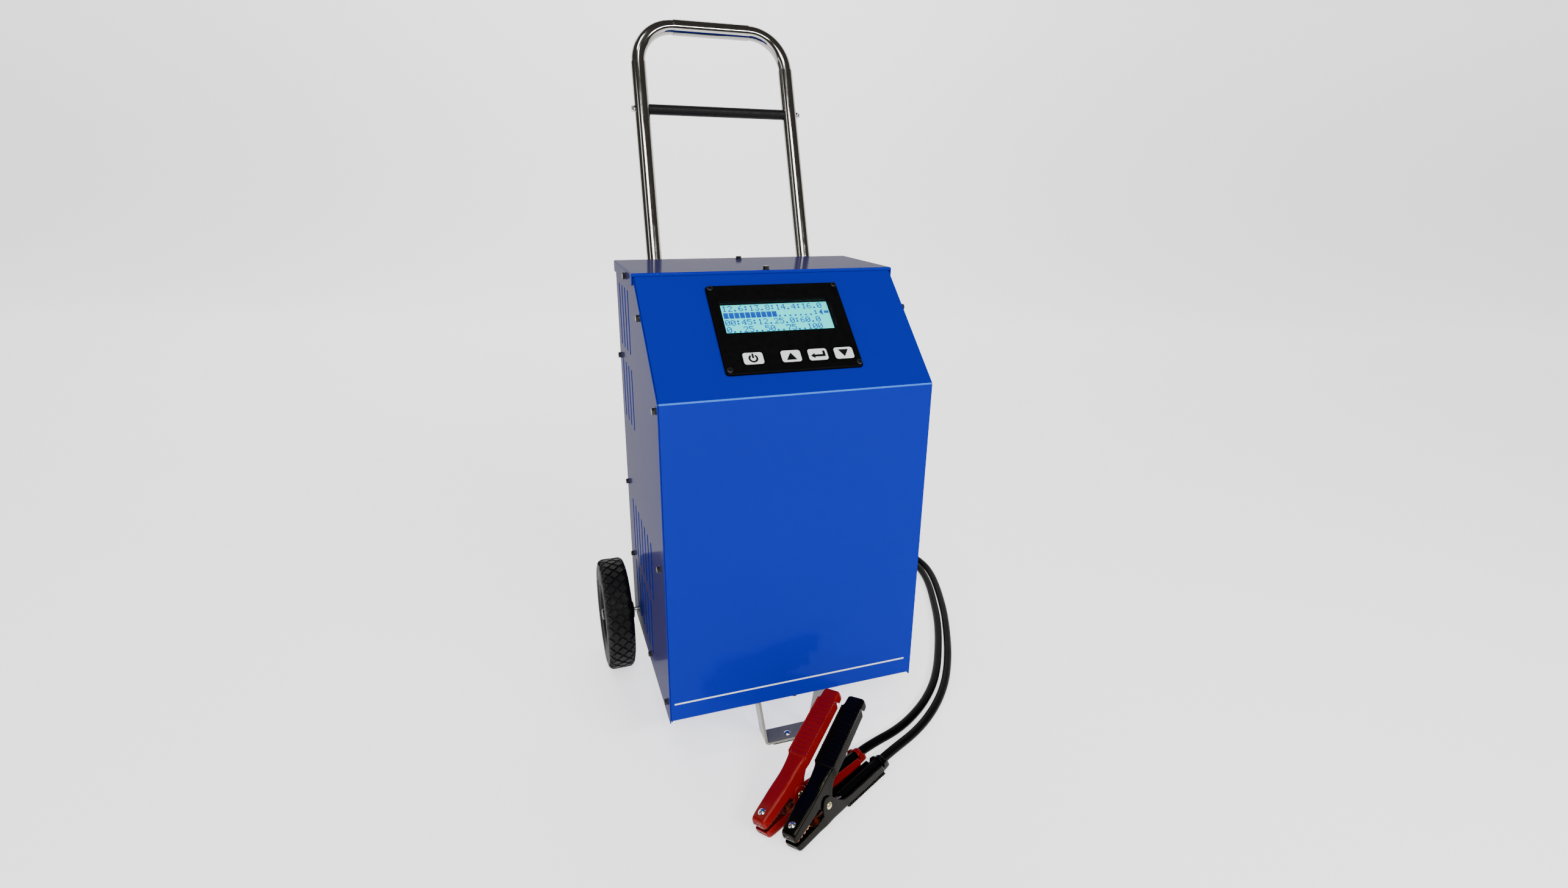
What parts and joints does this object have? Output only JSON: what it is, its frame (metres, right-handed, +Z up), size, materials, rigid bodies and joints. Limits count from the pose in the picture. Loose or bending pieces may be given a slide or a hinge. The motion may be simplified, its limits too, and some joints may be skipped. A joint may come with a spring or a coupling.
{
  "type": "wheeled battery charger",
  "caption": "Wheeled sheet-metal battery charger with a slanted control panel, tube handle, front foot and two output leads ending in spring clamps.",
  "frame": {"origin": "on the floor, midway across the width and midway between the front panel and the rear of the handle", "axes": "+Z up, +X to the right seen from the front, +Y towards the back"},
  "size_m": [0.5793, 0.6269, 0.847],
  "materials": {
    "blue_paint": "gloss powder coat",
    "black_plastic": "fine moulded texture",
    "key_plastic": "smooth moulded",
    "screw_black": "black oxide",
    "bright_steel": "bright zinc plate",
    "plated_tube": "bright plated tube",
    "black_enamel": "satin black enamel",
    "tyre_rubber": "moulded rubber",
    "rubber": "moulded rubber",
    "zinc_strap": "zinc plated strip",
    "core_steel": "varnished laminations",
    "copper": "bare copper",
    "brass_pin": "zinc-yellow plated",
    "aluminium": "extruded",
    "circuit_board": "solder mask",
    "lcd": "lit liquid crystal cell",
    "window": "clear acrylic",
    "clamp_black": "dipped vinyl over steel",
    "clamp_red": "dipped vinyl over steel",
    "spring_steel": "drawn wire"
  },
  "bodies": {
    "cabinet": {"axle": "bright_steel", "axle_brackets": "zinc_strap", "axle_caps": "bright_steel", "back_panel": "blue_paint", "base_pan": "blue_paint", "bezel_screws": "screw_black", "black_clamp_lower_handle": "clamp_black", "black_clamp_lower_jaw": "copper", "black_clamp_pivot_pin": "brass_pin", "black_clamp_spring": "spring_steel", "black_lead": "rubber", "black_lead_coil": "rubber", "cabinet_screws": "screw_black", "circuit_breaker": "black_plastic", "control_bezel": "black_plastic", "control_board": "circuit_board", "fan_guard": "bright_steel", "fan_housing": "black_plastic", "foot_bolts": "bright_steel", "foot_pad": "rubber", "foot_rivet": "bright_steel", "foot_strap": "zinc_strap", "front_panel": "blue_paint", "handle_crossbar": "black_enamel", "handle_saddles": "zinc_strap", "handle_screws": "bright_steel", "handle_tube": "plated_tube", "lcd_module": "lcd", "lcd_window": "window", "lead_glands": "black_plastic", "left_side_panel": "blue_paint", "mains_gland": "black_plastic", "rectifier_diodes": "bright_steel", "rectifier_heatsink": "aluminium", "red_clamp_lower_handle": "clamp_red", "red_clamp_lower_jaw": "copper", "red_clamp_pivot_pin": "brass_pin", "red_clamp_spring": "spring_steel", "red_lead": "rubber", "red_lead_coil": "rubber", "right_side_panel": "blue_paint", "top_cover": "blue_paint", "transformer_coil": "copper", "transformer_core": "core_steel"},
    "left_wheel": {"left_tyre": "tyre_rubber", "left_hub": "black_plastic"},
    "right_wheel": {"right_tyre": "tyre_rubber", "right_hub": "black_plastic"},
    "power_key": {"power_key": "key_plastic"},
    "up_key": {"up_key": "key_plastic"},
    "enter_key": {"enter_key": "key_plastic"},
    "down_key": {"down_key": "key_plastic"},
    "fan": {"fan_rotor": "black_plastic"},
    "black_clamp_upper": {"black_clamp_upper_handle": "clamp_black", "black_clamp_upper_jaw": "copper", "black_clamp_jaw_rivet": "bright_steel"},
    "red_clamp_upper": {"red_clamp_upper_handle": "clamp_red", "red_clamp_upper_jaw": "copper", "red_clamp_jaw_rivet": "bright_steel"}
  },
  "joints": [
    {"name": "left_wheel_spin", "type": "hinge", "parent": "cabinet", "child": "left_wheel", "pos_m": [-0.18, 0.05411, 0.0762], "axis": [1, 0, 0], "continuous": true},
    {"name": "right_wheel_spin", "type": "hinge", "parent": "cabinet", "child": "right_wheel", "pos_m": [0.18, 0.05411, 0.0762], "axis": [1, 0, 0], "continuous": true},
    {"name": "power_key_press", "type": "slide", "parent": "cabinet", "child": "power_key", "axis": [0, 0.6645, -0.7473], "range_m": [0, 0.0006], "stiffness_N_per_m": 400, "springref_m": -0.001},
    {"name": "up_key_press", "type": "slide", "parent": "cabinet", "child": "up_key", "axis": [0, 0.6645, -0.7473], "range_m": [0, 0.0006], "stiffness_N_per_m": 400, "springref_m": -0.001},
    {"name": "enter_key_press", "type": "slide", "parent": "cabinet", "child": "enter_key", "axis": [0, 0.6645, -0.7473], "range_m": [0, 0.0006], "stiffness_N_per_m": 400, "springref_m": -0.001},
    {"name": "down_key_press", "type": "slide", "parent": "cabinet", "child": "down_key", "axis": [0, 0.6645, -0.7473], "range_m": [0, 0.0006], "stiffness_N_per_m": 400, "springref_m": -0.001},
    {"name": "fan_spin", "type": "hinge", "parent": "cabinet", "child": "fan", "pos_m": [0, 0.06991, 0.4], "axis": [0, 1, 0], "continuous": true},
    {"name": "black_clamp_open", "type": "hinge", "parent": "cabinet", "child": "black_clamp_upper", "pos_m": [-0.01559, -0.31064, 0.02571], "axis": [-0.4819, 0.8401, -0.2492], "range_deg": [0, 26], "stiffness_Nm_per_rad": 1.5, "springref_deg": -28.65},
    {"name": "red_clamp_open", "type": "hinge", "parent": "cabinet", "child": "red_clamp_upper", "pos_m": [-0.03859, -0.28639, 0.02552], "axis": [-0.4374, 0.8601, -0.2623], "range_deg": [0, 26], "stiffness_Nm_per_rad": 1.5, "springref_deg": -28.65}
  ]
}
